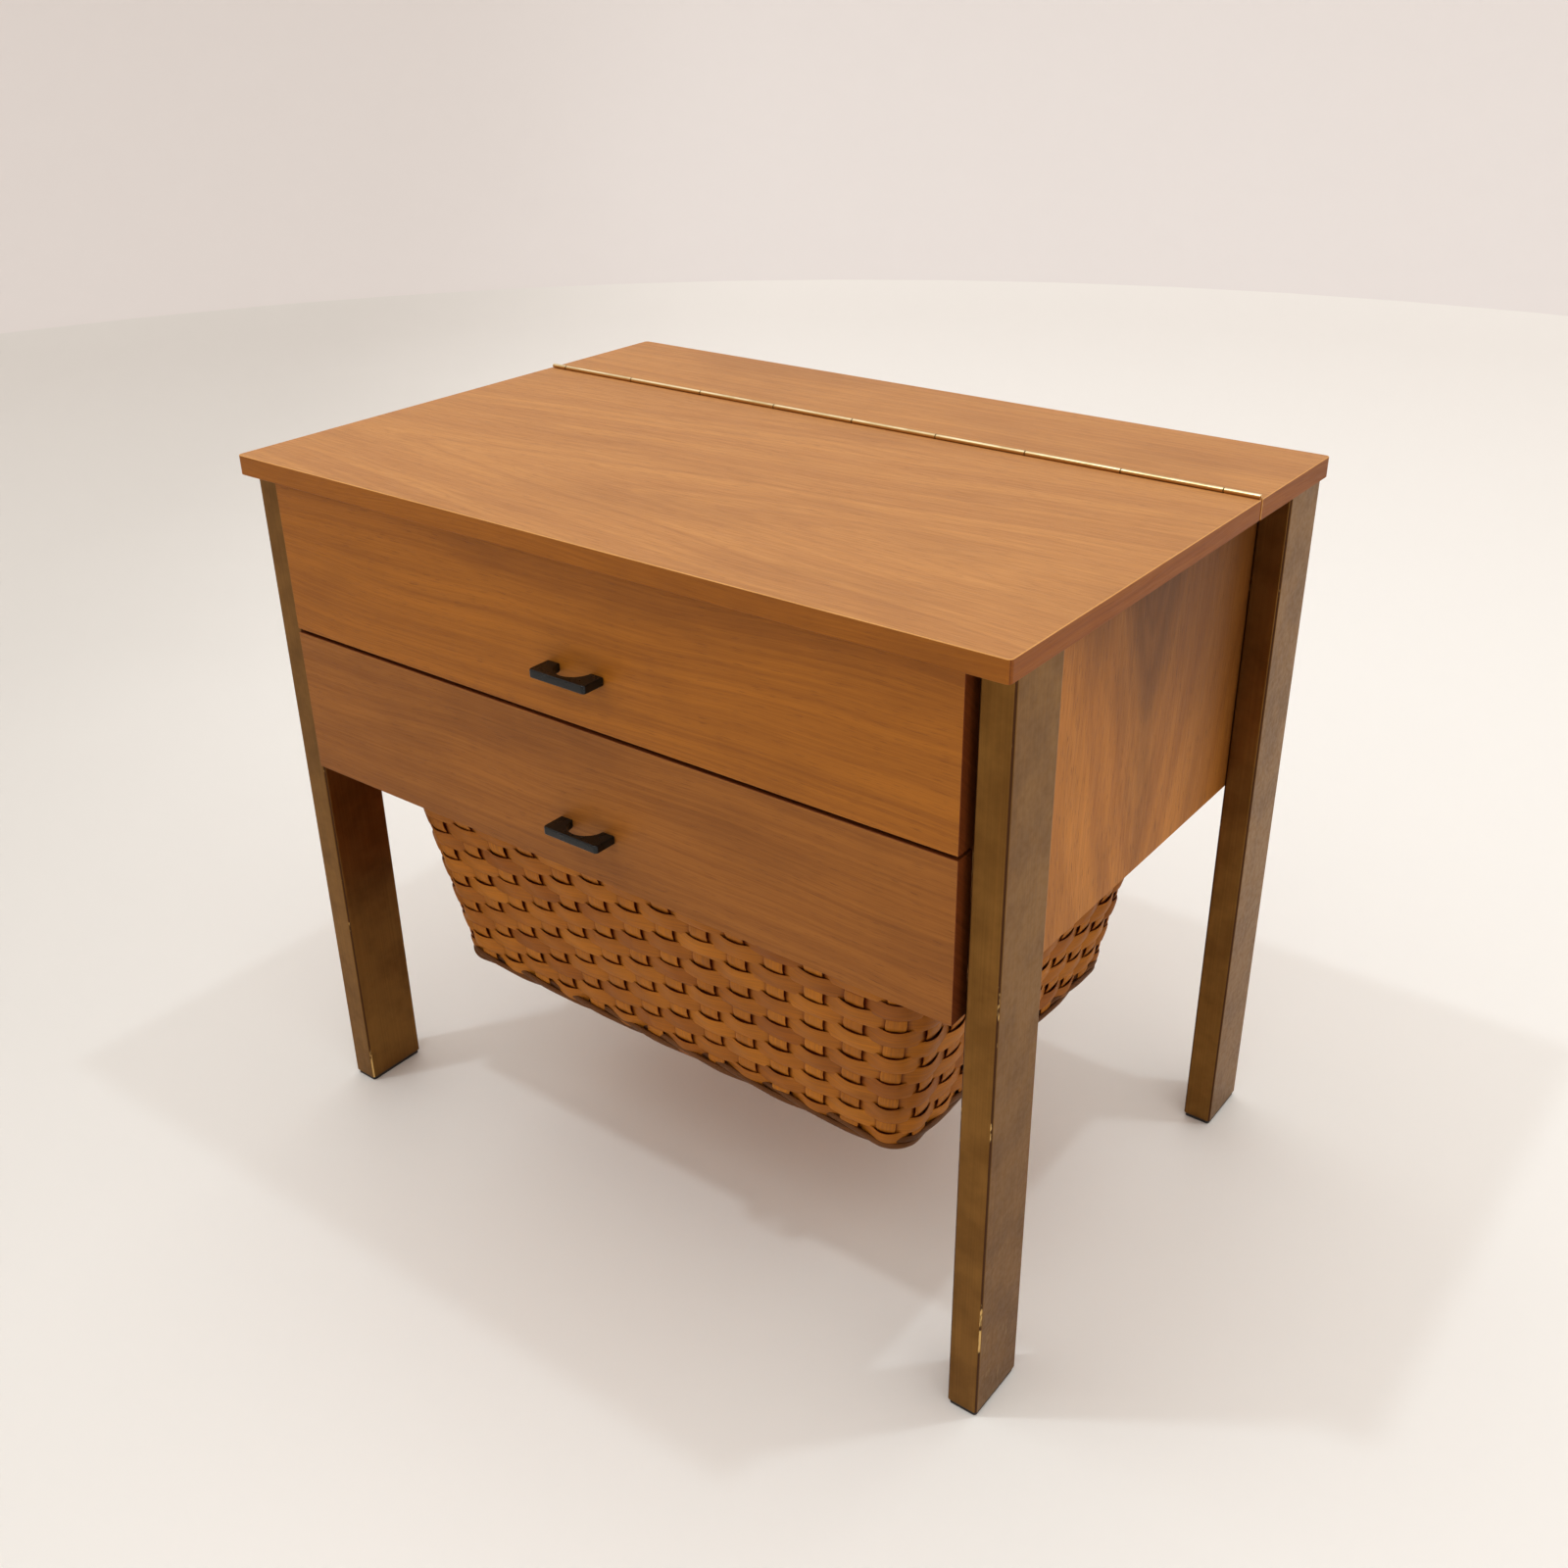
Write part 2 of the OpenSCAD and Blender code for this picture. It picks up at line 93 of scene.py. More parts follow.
class Paint:
    """A material's node tree, with short calls for the nodes that the recipes use."""

    def __init__(self, name):
        self.material = bpy.data.materials.new(name)
        self.material.use_nodes = True
        self.nodes = self.material.node_tree.nodes
        self.links = self.material.node_tree.links
        self.shader = self.nodes["Principled BSDF"]

    def feed(self, socket, value):
        if isinstance(value, bpy.types.NodeSocket):
            self.links.new(value, socket)
        else:
            socket.default_value = value

    def add(self, kind, inputs=(), out=0, **settings):
        node = self.nodes.new("ShaderNode" + kind)
        for key, value in settings.items():
            setattr(node, key, value)
        for key, value in dict(inputs).items():
            self.feed(node.inputs[key], value)
        return node.outputs[out]

    def math(self, operation, first, second=0.0, third=0.0):
        return self.add("Math", {0: first, 1: second, 2: third}, operation=operation)

    def between(self, value, low, high):
        """0 below low, 1 above high, smooth between them."""
        return self.add("MapRange", {0: value, 1: low, 2: high}, interpolation_type="SMOOTHSTEP")

    def spread(self, noise, low, high):
        """The middle range of a noise, spread from low to high."""
        return self.add("MapRange", {0: noise, 1: 0.3, 2: 0.7, 3: low, 4: high})

    def point(self, x, y, z):
        return self.add("CombineXYZ", {0: x, 1: y, 2: z})

    def scaled(self, vector, scale):
        return self.add("VectorMath", {0: vector, 1: scale}, operation="MULTIPLY")

    def noise(self, vector, scale=1.0, detail=2.0, rough=0.5):
        settings = {"Vector": vector, "Scale": scale, "Detail": detail, "Roughness": rough}
        return self.add("TexNoise", settings)

    def mix(self, share, first, second, blend="MIX"):
        inputs = {0: share, 6: first, 7: second}
        return self.add("Mix", inputs, out=2, data_type="RGBA", blend_type=blend)

    def shaded(self, colour, shade):
        """A colour, darker where shade is below 1 and lighter where it is above."""
        return self.mix(1.0, colour, self.point(shade, shade, shade), blend="MULTIPLY")

    def object_xyz(self):
        """Where a point is on the object, and its three parts."""
        place = self.add("TexCoord", out=3)
        split = self.nodes.new("ShaderNodeSeparateXYZ")
        self.links.new(place, split.inputs[0])
        return place, split.outputs[0], split.outputs[1], split.outputs[2]

    def bump(self, height, depth, strength=1.0):
        inputs = {"Height": height, "Distance": depth, "Strength": strength}
        self.feed(self.shader.inputs["Normal"], self.add("Bump", inputs))

    def finish(self, colour, roughness, **uniform):
        """Link what varies, and set what is the same all over on the shader itself."""
        self.feed(self.shader.inputs["Base Color"], colour)
        self.feed(self.shader.inputs["Roughness"], roughness)
        for key, value in uniform.items():
            self.shader.inputs[key.replace("_", " ")].default_value = value
        return self.material


# ---------- materials ----------

def flat_sawn(p, along, wander, figure, core):
    """The distance from the arches of a flat-sawn board, and how far inside them a point is."""
    tip, middle, width, slope = figure
    sideways = p.math("SUBTRACT", wander, middle)
    rounded = p.math("MULTIPLY_ADD", sideways, sideways, width * width)
    line = p.math("MULTIPLY_ADD", p.math("SUBTRACT", along, tip), -slope,
                  p.math("SQRT", rounded))
    inside = p.math("SUBTRACT", core, p.math("MULTIPLY", p.between(line, -0.02, 0.02), core))
    return line, inside


def wood(name, grain, tones, seed, figure=None, core=0.0, flecks=0.5, matt=0.46, bands=1.0,
         ring=230, fine=1.0, painted_corner_shade=None):
    """Veneer or solid wood with its grain along X, Y or Z.

    tones are the light, dark and blotch colours. figure is (tip, middle, width, slope) for
    flat-sawn arches: where they point and how fast they open. Without it the grain is straight.
    core is how dark the inside of the arches is, and flecks how dark the pores are. bands and
    fine are how strong the wide and the narrow figure is, and ring how closely the rings lie.
    matt is about the roughness. The last argument is painted shade: (from, to, share) on a
    slant over the board, which darkens it towards one corner."""
    p = Paint(name)
    _, x, y, z = p.object_xyz()
    along, across = {
        "X": (x, p.math("ADD", y, z)),
        "Y": (y, p.math("ADD", x, z)),
        "Z": (z, p.math("ADD", x, y)),
    }[grain]
    drift = p.noise(p.point(p.math("MULTIPLY", along, 3.1), p.math("MULTIPLY", across, 9), seed))
    wander = p.math("MULTIPLY_ADD", drift, 0.03, across)
    line, inside = wander, None
    if figure:
        line, inside = flat_sawn(p, along, wander, figure, core)

    def grain_noise(lengthwise, crosswise, coordinate, offset, detail=3.0, rough=0.6):
        place = p.point(
            p.math("MULTIPLY", along, lengthwise), p.math("MULTIPLY", coordinate, crosswise),
            seed + offset,
        )
        return p.noise(place, detail=detail, rough=rough)

    broad = grain_noise(1.6, 46, line, 3.1)
    rings = grain_noise(1.4, ring, line, 5.3)
    streaks = grain_noise(7, 620, wander, 7.7)
    fibre = grain_noise(32, 1500, wander, 9.9, rough=0.7)
    blotch = grain_noise(6, 16, across, 11.3)
    pores = p.between(grain_noise(75, 1500, wander, 13.9, detail=1), 0.62, 0.7)

    def around_zero(layer, weight):
        """A layer of noise centred on zero, so that layers can be added up."""
        return p.math("MULTIPLY_ADD", layer, weight, -weight / 2)

    weighted = around_zero(broad, 1.1 * bands)
    for layer, weight in ((rings, 1.2 * bands), (streaks, 1.5 * fine), (fibre, 0.9 * fine)):
        weighted = p.math("ADD", weighted, around_zero(layer, weight))
    share = p.between(weighted, -0.62, 0.62)
    light, dark, cloudy = tones
    colour = p.mix(share, light, dark)
    colour = p.mix(p.math("MULTIPLY", p.between(blotch, 0.44, 0.74), 0.3), colour, cloudy)
    if inside:
        colour = p.mix(p.math("MULTIPLY", inside, p.between(rings, 0.2, 0.6)), colour, cloudy)
    # painted shade: the board grows darker on a slant towards one corner
    if painted_corner_shade:
        start, end, most = painted_corner_shade
        slanting = p.between(p.math("ADD", across, along), start, end)
        colour = p.mix(p.math("MULTIPLY", slanting, most), colour, cloudy)
    colour = p.mix(p.math("MULTIPLY", pores, flecks), colour, cloudy)
    roughness = p.spread(fibre, matt - 0.05, matt + 0.1)
    p.bump(p.math("SUBTRACT", p.math("MULTIPLY", fibre, 0.35), pores), 0.0002, 0.3)
    return p.finish(colour, roughness, Specular_IOR_Level=0.3)


def bronze():
    """Satin bronze lacquer on steel, with faint draw lines, mottling and a few scuffs."""
    p = Paint("bronze_lacquer")
    place, *_ = p.object_xyz()
    draw = p.noise(p.scaled(place, (900, 900, 9)), detail=2)
    mottle = p.noise(place, 28, detail=4, rough=0.6)
    dust = p.noise(place, 260, detail=2)
    colour = p.mix(p.between(mottle, 0.35, 0.7), tone(138, 101, 52), tone(121, 86, 42))
    colour = p.shaded(colour, p.spread(draw, 0.93, 1.07))
    scuff_where = p.between(p.noise(place, 9, detail=2), 0.6, 0.66)
    scuff_lines = p.between(p.noise(p.scaled(place, (240, 240, 60)), detail=3), 0.6, 0.68)
    scuff = p.math("MULTIPLY", p.math("MULTIPLY", scuff_where, scuff_lines), 0.45)
    colour = p.mix(scuff, colour, tone(176, 146, 92))
    roughness = p.spread(dust, 0.3, 0.42)
    p.bump(p.math("ADD", p.math("MULTIPLY", draw, 0.4), dust), 0.0001, 0.1)
    return p.finish(colour, roughness, Metallic=1.0)


def bronze_edge():
    """The corners of the legs: a darker line, worn through to brass here and there."""
    p = Paint("bronze_corner")
    place, *_ = p.object_xyz()
    pale_edge = p.between(p.noise(p.scaled(place, (60, 60, 22)), detail=4, rough=0.7), 0.6, 0.66)
    grain = p.noise(place, 500, detail=2)
    colour = p.mix(pale_edge, tone(78, 48, 24), tone(214, 180, 118))
    p.bump(grain, 0.0001, 0.3)
    return p.finish(colour, 0.4, Metallic=0.8)


def zinc_steel():
    """Zinc-plated steel with fine grain, slow tarnish and a roughness that follows the grain."""
    p = Paint("zinc_steel")
    place, *_ = p.object_xyz()
    grain = p.noise(p.scaled(place, (300, 300, 300)), detail=3)
    tarnish = p.noise(place, 35, detail=3)
    colour = p.mix(p.between(tarnish, 0.4, 0.7), tone(176, 178, 176), tone(150, 150, 146))
    rough = p.spread(grain, 0.272, 0.425)
    p.bump(grain, 0.00005, 0.3)
    return p.finish(colour, rough, Metallic=1.0)


def hinge_brass():
    """Brass with a painted highlight along the top of the barrel, darker on its flanks, and
    painted shade beside the gaps between knuckles."""
    p = Paint("hinge_brass")
    place, x, _, z = p.object_xyz()
    brush = p.noise(p.scaled(place, (40, 900, 900)), detail=3)
    patches = p.noise(place, 35, detail=3)
    # painted highlight: a pale band along the top of the barrel, where the light catches it
    wandering = p.math("MULTIPLY_ADD", patches, 0.0004, z)
    top = p.between(wandering, BARREL_TOP - 0.7 * MM, BARREL_TOP - 0.2 * MM)
    painted_bright = p.mix(p.between(patches, 0.4, 0.7), tone(240, 224, 188), tone(210, 188, 144))
    colour = p.mix(top, tone(198, 156, 98), painted_bright)
    # painted shade on the barrel beside each gap between knuckles
    from_gap = p.math("PINGPONG", p.math("SUBTRACT", x, KNUCKLE_GAP_X), KNUCKLE / 2)
    painted_gap_shade = p.math("SUBTRACT", 1.0, p.between(from_gap, 0.1 * MM, 0.7 * MM))
    on_barrel = p.between(z, BARREL_TOP - 3.6 * MM, BARREL_TOP - 3.2 * MM)
    colour = p.mix(p.math("MULTIPLY", painted_gap_shade, on_barrel), colour, tone(118, 88, 46))
    rough = p.spread(brush, 0.26, 0.4)
    p.bump(brush, 0.00005, 0.3)
    return p.finish(colour, rough, Metallic=1.0)


def handle_black():
    """Satin black lacquer with a faint green cast and light dust."""
    p = Paint("handle_black")
    place, *_ = p.object_xyz()
    grain = p.noise(place, 900, detail=2)
    smear = p.noise(place, 60, detail=3)
    colour = p.mix(p.between(smear, 0.4, 0.7), tone(5, 6, 6), tone(10, 12, 11))
    rough = p.spread(smear, 0.2, 0.36)
    p.bump(grain, 0.00006, 0.3)
    return p.finish(colour, rough)


def plastic():
    """Moulded dark plastic with a fine leathered grain."""
    p = Paint("glide_plastic")
    place, *_ = p.object_xyz()
    grain = p.noise(place, 1400, detail=2)
    colour = p.mix(grain, tone(30, 28, 26), tone(42, 39, 36))
    p.bump(grain, 0.0001, 0.4)
    return p.finish(colour, 0.5)


def wicker(name, light, middle, dark, painted_crevice_shade):
    """Peeled splint. The mesh gives each point its place along and across the splint, a tone
    for the length that it is on, and how much painted shade it takes where it lies deep in
    the weave."""
    p = Paint(name)
    fibre_place = p.add("Attribute", out=1, attribute_name="fibre")
    tint = p.add("Attribute", out=2, attribute_name="tint")
    depth = p.add("Attribute", out=2, attribute_name="depth")
    streaks = p.noise(p.scaled(fibre_place, (28, 900, 1)), detail=3, rough=0.6)
    patches = p.noise(p.scaled(fibre_place, (22, 70, 1)), detail=3)
    colour = p.mix(tint, light, middle)
    colour = p.mix(p.math("MULTIPLY", p.between(patches, 0.45, 0.75), 0.25), colour, dark)
    colour = p.shaded(colour, p.spread(streaks, 0.8, 1.14))
    # painted shade: the depth attribute mixes in the dark colour of crevices where the splint lies
    # deep in the weave
    colour = p.mix(depth, colour, painted_crevice_shade)
    roughness = p.spread(streaks, 0.42, 0.6)
    p.bump(streaks, 0.00025, 0.5)
    return p.finish(colour, roughness, Specular_IOR_Level=0.3)


def pale_ground(name, painted_bright, painted_dim, roughness):
    """A plain pale surface with a painted falloff of light: its colour grows a little dimmer
    towards the left of the room.
    """
    p = Paint(name)
    place, x, y, _ = p.object_xyz()
    sideways = p.math("MULTIPLY_ADD", y, 0.6, p.math("MULTIPLY", x, 0.8))
    cloud = p.noise(place, 1.1, detail=3)
    wandering = p.math("MULTIPLY_ADD", cloud, 0.3, sideways)
    # painted shade: from the lit tone on the right to the dimmer tone on the left
    return p.finish(p.mix(p.between(wandering, -1.0, 0.1), painted_dim, painted_bright), roughness)


# Light, dark and blotch colours of each kind of wood
TOP_TONES = (tone(199, 143, 84), tone(176, 121, 70), tone(147, 97, 56))
EDGE_TONES = (tone(172, 108, 29), tone(150, 91, 22), tone(115, 64, 16))
END_TONES = (tone(156, 92, 24), tone(132, 73, 19), tone(103, 53, 12))
FRONT_TONES = (tone(178, 114, 35), tone(155, 96, 29), tone(114, 66, 22))
LOWER_TONES = (tone(168, 109, 44), tone(144, 90, 34), tone(105, 60, 23))
SIDE_TONES = (tone(202, 136, 56), tone(157, 97, 34), tone(72, 36, 8))
JOINT_TONES = (tone(130, 70, 26), tone(110, 54, 18), tone(80, 34, 10))
# painted highlight: lighter tones for the rounded upper arrises of the top boards, where light
# catches them
EDGE_HIGHLIGHT_TONES = (tone(224, 172, 108), tone(206, 152, 90), tone(178, 126, 70))
PLAIN_TONES = (tone(200, 162, 110), tone(182, 144, 94), tone(156, 118, 76))

WOODS = {
    "top": wood("veneer_top", "X", TOP_TONES, 1.0, figure=(0.114, 0.438, 0.012, 0.15), fine=0.8),
    "strip": wood("veneer_strip", "X", TOP_TONES, 4.0, fine=0.8),
    "edge": wood("edge_band", "X", EDGE_TONES, 7.0, flecks=0.3, bands=0.6),
    "end": wood("edge_band_side", "Y", END_TONES, 8.0, flecks=0.3, bands=0.6),
    "front": wood("veneer_front", "X", FRONT_TONES, 12.0, flecks=0.4),
    "lower": wood("veneer_lower_front", "X", LOWER_TONES, 17.0, flecks=0.4),
    # on the right side panel the slant paints shade towards the top rear, under the top and beside
    # the rear leg
    "side": wood("veneer_side", "Z", SIDE_TONES, 23.0, figure=(0.33, 0.301, 0.012, 0.26),
                 core=0.55, bands=0.65, ring=70, fine=0.5, painted_corner_shade=(0.61, 0.84, 0.62)),
    "joint": wood("veneer_joint", "X", JOINT_TONES, 27.0, flecks=0.2, bands=0.5),
    # painted highlight along the upper arrises of the top boards
    "pale_edge": wood("veneer_painted_highlight_edge", "X", EDGE_HIGHLIGHT_TONES, 29.0, flecks=0.2, bands=0.5),
    "plain_x": wood("plain_wood_x", "X", PLAIN_TONES, 31.0, matt=0.55, bands=0.7),
    "plain_y": wood("plain_wood_y", "Y", PLAIN_TONES, 37.0, matt=0.55, bands=0.7),
}
BRONZE = bronze()
BRONZE_EDGE = bronze_edge()
BRASS = hinge_brass()
STEEL = zinc_steel()
BLACK = handle_black()
PLASTIC = plastic()
# The last tone of each splint is the colour of the painted shade in crevices
SPLINT = wicker(
    "splint", tone(187, 120, 31), tone(155, 92, 21), tone(113, 61, 13), tone(112, 34, 8)
)
FOOT_SPLINT = wicker(
    "splint_foot", tone(122, 76, 28), tone(92, 54, 20), tone(62, 34, 12), tone(44, 14, 4)
)


# ---------- rounded copies of CAD nodes ----------

# An edge is rounded when it is sharper than this angle and longer than this length
ROUNDED_ABOVE = math.radians(40)
SHORTEST_ROUNDED = 6 * MM
# A short edge is rounded too when it is this near to two sides of its node, because it is then
# on a round upright corner, and the largest of those has a radius of 3 mm
CORNER_REACH = 3.1 * MM


def smooth_by_angle(mesh, degrees):
    """Smooth shading that breaks at edges sharper than an angle."""
    work = bmesh.new()
    work.from_mesh(mesh)
    for edge in work.edges:
        sharp = len(edge.link_faces) == 2 and edge.calc_face_angle(0) > math.radians(degrees)
        edge.smooth = not sharp
    for face in work.faces:
        face.smooth = True
    work.to_mesh(mesh)
    work.free()


def dressed(node, radius, materials, segments=3, edge=None):
    """A copy of a CAD node with rounded edges, which stands for it.

    materials is one material, or a function from a face normal to an index and the list that
    it picks from. edge is another material for the rounded edges alone, but not for those that
    face down. For the top boards it is a painted highlight along the arrises that face the
    light."""
    mesh = NODES[node].data.copy()
    work = bmesh.new()
    work.from_mesh(mesh)
    bmesh.ops.remove_doubles(work, verts=work.verts, dist=1e-6)
    bmesh.ops.dissolve_limit(
        work, angle_limit=math.radians(0.5), verts=work.verts, edges=work.edges
    )
    low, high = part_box(node)

    def at_corner(line):
        """On a round upright corner, whose rim is a chain of short edges."""
        middle = (line.verts[0].co + line.verts[1].co) / 2
        gaps = [min(middle[k] - low[k], high[k] - middle[k]) for k in (0, 1)]
        return max(gaps) < CORNER_REACH

    sharp = [
        line for line in work.edges
        if len(line.link_faces) == 2
        and line.calc_face_angle(0) > ROUNDED_ABOVE
        and (line.calc_length() > SHORTEST_ROUNDED or at_corner(line))
    ]
    rounded = set(bmesh.ops.bevel(
        work, geom=sharp, offset=radius, segments=segments, profile=0.5,
        affect="EDGES", clamp_overlap=True,
    )["faces"])
    mesh.materials.clear()
    choose, choices = materials if isinstance(materials, tuple) else (None, [materials])
    for face in work.faces:
        face.smooth = True
        face.material_index = choose(face.normal) if choose else 0
        # rounded edges that do not face down take the edge material, a painted highlight
        if edge and face in rounded and face.normal.z > -0.1:
            face.material_index = len(choices)
    work.to_mesh(mesh)
    work.free()
    for material in choices + ([edge] if edge else []):
        mesh.materials.append(material)
    smooth_by_angle(mesh, 35)
    piece = bpy.data.objects.new(node + "_finished", mesh)
    bpy.context.scene.collection.objects.link(piece)
    normals = piece.modifiers.new("even_faces", "WEIGHTED_NORMAL")
    normals.keep_sharp = True
    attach(piece, BODY_OF[node])
    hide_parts(node)


def top_faces(normal):
    """0 on the flat faces, 1 on front and rear edges, 2 on the ends, 3 on upright corners."""
    if abs(normal.z) > 0.72:
        return 0
    if min(abs(normal.x), abs(normal.y)) > 0.6:
        return 3
    return 1 if abs(normal.y) > abs(normal.x) else 2


def leg_faces(normal):
    """0 on the flats, 1 on the round upright corners."""
    return int(min(abs(normal.x), abs(normal.y)) > 0.35)


def side_faces(normal):
    """0 on the two broad faces of a side panel, 1 on its edges."""
    return 0 if abs(normal.x) > 0.72 else 1


def front_faces(normal):
    """0 on the front and rear of a drawer front, 1 on its edges."""
    return 0 if abs(normal.y) > 0.72 else 1


# Plain wooden pieces by the way their grain runs
GRAIN_X = (
    "front_top_rail", "front_middle_rail", "rear_top_rail", "upper_drawer_back",
    "upper_drawer_bottom", "upper_drawer_long_divider", "basket_rail_back", "basket_rail_front",
)
GRAIN_Y = (
    "runner_upper_left", "runner_upper_right", "runner_lower_left", "runner_lower_right",
    "upper_drawer_side_left", "upper_drawer_side_right", "upper_drawer_short_divider_1",
    "upper_drawer_short_divider_2", "upper_drawer_short_divider_3", "basket_rail_left",
    "basket_rail_right",
)


def finish_wood_and_legs():
    """Every board, leg and handle gets rounded edges and its finish."""
    for node, veneer in (("lid", "top"), ("rear_top_strip", "strip")):
        skins = [WOODS[veneer], WOODS["edge"], WOODS["end"], WOODS["joint"]]
        # the rounded edges that face up take a painted highlight
        dressed(node, 0.5 * MM, (top_faces, skins), edge=WOODS["pale_edge"])
    for node in ("side_panel_left", "side_panel_right"):
        dressed(node, 0.8 * MM, (side_faces, [WOODS["side"], WOODS["joint"]]))
    dressed("back_panel", 0.6 * MM, WOODS["lower"])
    dressed("upper_drawer_front", 0.5 * MM, (front_faces, [WOODS["front"], WOODS["joint"]]))
    dressed("basket_drawer_front", 0.5 * MM, (front_faces, [WOODS["lower"], WOODS["joint"]]))
    for node in NODES:
        if node.startswith(("leg_front", "leg_rear")):
            dressed(node, 0.5 * MM, (leg_faces, [BRONZE, BRONZE_EDGE]), segments=2)
    for node in ("upper_handle", "lower_handle"):
        dressed(node, 1.0 * MM, BLACK)
    for nodes, plain in ((GRAIN_X, "plain_x"), (GRAIN_Y, "plain_y")):
        for node in nodes:
            dressed(node, 0.5 * MM, WOODS[plain], segments=2)


def paint_cad_nodes():
    """Screws, bolts, glides and the hinge keep their CAD shape and take a better finish."""
    finishes = {"steel": STEEL, "hinge_brass": BRASS, "glide_plastic": PLASTIC}
    for node, slot in SLOT_OF.items():
        if slot in finishes:
            mesh = NODES[node].data
            if not mesh.materials:
                mesh.materials.append(finishes[slot])
            for index in range(len(mesh.materials)):
                mesh.materials[index] = finishes[slot]


# ---------- the basket ----------

basket_low, basket_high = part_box("basket")
rim_low, rim_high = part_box("basket_rim")
# The CAD tub's slope, and its corner radius at the bottom and at the rim
LEAN = 0.17
CORNER_LOW = 20 * MM
CORNER_HIGH = 34 * MM
WALL_HEIGHT = rim_low.z - basket_low.z
RIM_HEIGHT = rim_high.z - rim_low.z
MIDDLE_Y = (basket_low.y + basket_high.y) / 2
BOTTOM_HALF = (
    (basket_high.x - basket_low.x) / 2 - LEAN * WALL_HEIGHT,
    (basket_high.y - basket_low.y) / 2 - LEAN * WALL_HEIGHT,
)
# Upright stakes: how many, how far the first stands from the front's middle as a share of
# their spacing, half their width and half their thickness
STAKES = 48
STAKE_SHIFT = -0.25
STAKE_HALF = 7.3 * MM
STAKE_HALF_THICK = 0.8 * MM
# Rows of weaver: how many, their spacing, where the first begins, how far a row swings out
# and in, half its thickness, its length from stake to stake for its grain, and the rings of
# points on that length
ROWS = 16
PITCH = 11.8 * MM
FIRST_ROW = 2.9 * MM
BULGE = 2.6 * MM
WEAVER_HALF_THICK = 0.6 * MM
STAKE_SPACING = 30 * MM
STEPS_PER_STAKE = 14
# The middle of the woven wall, measured out from the CAD wall's outer face
WALL_MIDDLE = -2.7 * MM
# Splints of the bottom along Y and along X, strands of the foot border and the turns that they
# make, and turns of the rim's lashing
BOTTOM_STRIPS = (17, 12)
FOOT_STRANDS = 3
FOOT_TWISTS = 9
RIM_WRAPS = 116
# About the length of the foot border, for its grain
FOOT_LENGTH = 1.35


def basket_point(turn, up, out):
    """A point on the basket's wall, for arrays of turns, heights and offsets.

    turn runs from 0 to 1 round the basket, from the middle of the front towards +X. up is the
    height above the bottom, and out is how far the point stands out from the CAD wall."""
    turn, up, out = np.broadcast_arrays(turn, up, out)
    half_x = BOTTOM_HALF[0] + LEAN * up
    half_y = BOTTOM_HALF[1] + LEAN * up
    corner = CORNER_LOW + (CORNER_HIGH - CORNER_LOW) * up / WALL_HEIGHT
    flat_x, flat_y, arc = half_x - corner, half_y - corner, corner * math.pi / 2
    travel = (turn % 1.0) * (4 * (flat_x + flat_y + arc))
    x, y = np.zeros_like(travel), np.zeros_like(travel)
    normal_x, normal_y = np.zeros_like(travel), np.zeros_like(travel)
    start = np.zeros_like(travel)
    corners = ((1, -1), (1, 1), (-1, 1), (-1, -1))
    for quarter in range(4):
        face = math.pi / 2 * (quarter - 1)
        nx, ny = math.cos(face), math.sin(face)
        depth = half_y if quarter % 2 == 0 else half_x
        flat = flat_x if quarter % 2 == 0 else flat_y
        lengths = flat if quarter == 0 else 2 * flat
        begin = np.zeros_like(flat) if quarter == 0 else -flat
        here = (travel >= start) & (travel < start + lengths)
        along = begin + (travel - start)
        x = np.where(here, nx * depth - ny * along, x)
        y = np.where(here, ny * depth + nx * along, y)
        normal_x, normal_y = np.where(here, nx, normal_x), np.where(here, ny, normal_y)
        start = start + lengths
        here = (travel >= start) & (travel < start + arc)
        swing = face + (travel - start) / corner
        sx, sy = corners[quarter]
        x = np.where(here, sx * flat_x + corner * np.cos(swing), x)
        y = np.where(here, sy * flat_y + corner * np.sin(swing), y)
        normal_x = np.where(here, np.cos(swing), normal_x)
        normal_y = np.where(here, np.sin(swing), normal_y)
        start = start + arc
    here = travel >= start
    x = np.where(here, -(flat_x - (travel - start)), x)
    y = np.where(here, -half_y, y)
    normal_y = np.where(here, -1.0, normal_y)
    level, fall = math.cos(math.atan(LEAN)), -math.sin(math.atan(LEAN))
    return np.stack([
        x + normal_x * level * out,
        MIDDLE_Y + y + normal_y * level * out,
        basket_low.z + up + fall * out,
    ], axis=-1)


def together(x, y, z):
    """Three arrays, stretched to one shape, as one array of points."""
    return np.stack(np.broadcast_arrays(x, y, z), axis=-1)


def ease(value):
    """0 below 0, 1 above 1, smooth between them."""
    share = np.clip(value, 0.0, 1.0)
    return share * share * (3 - 2 * share)


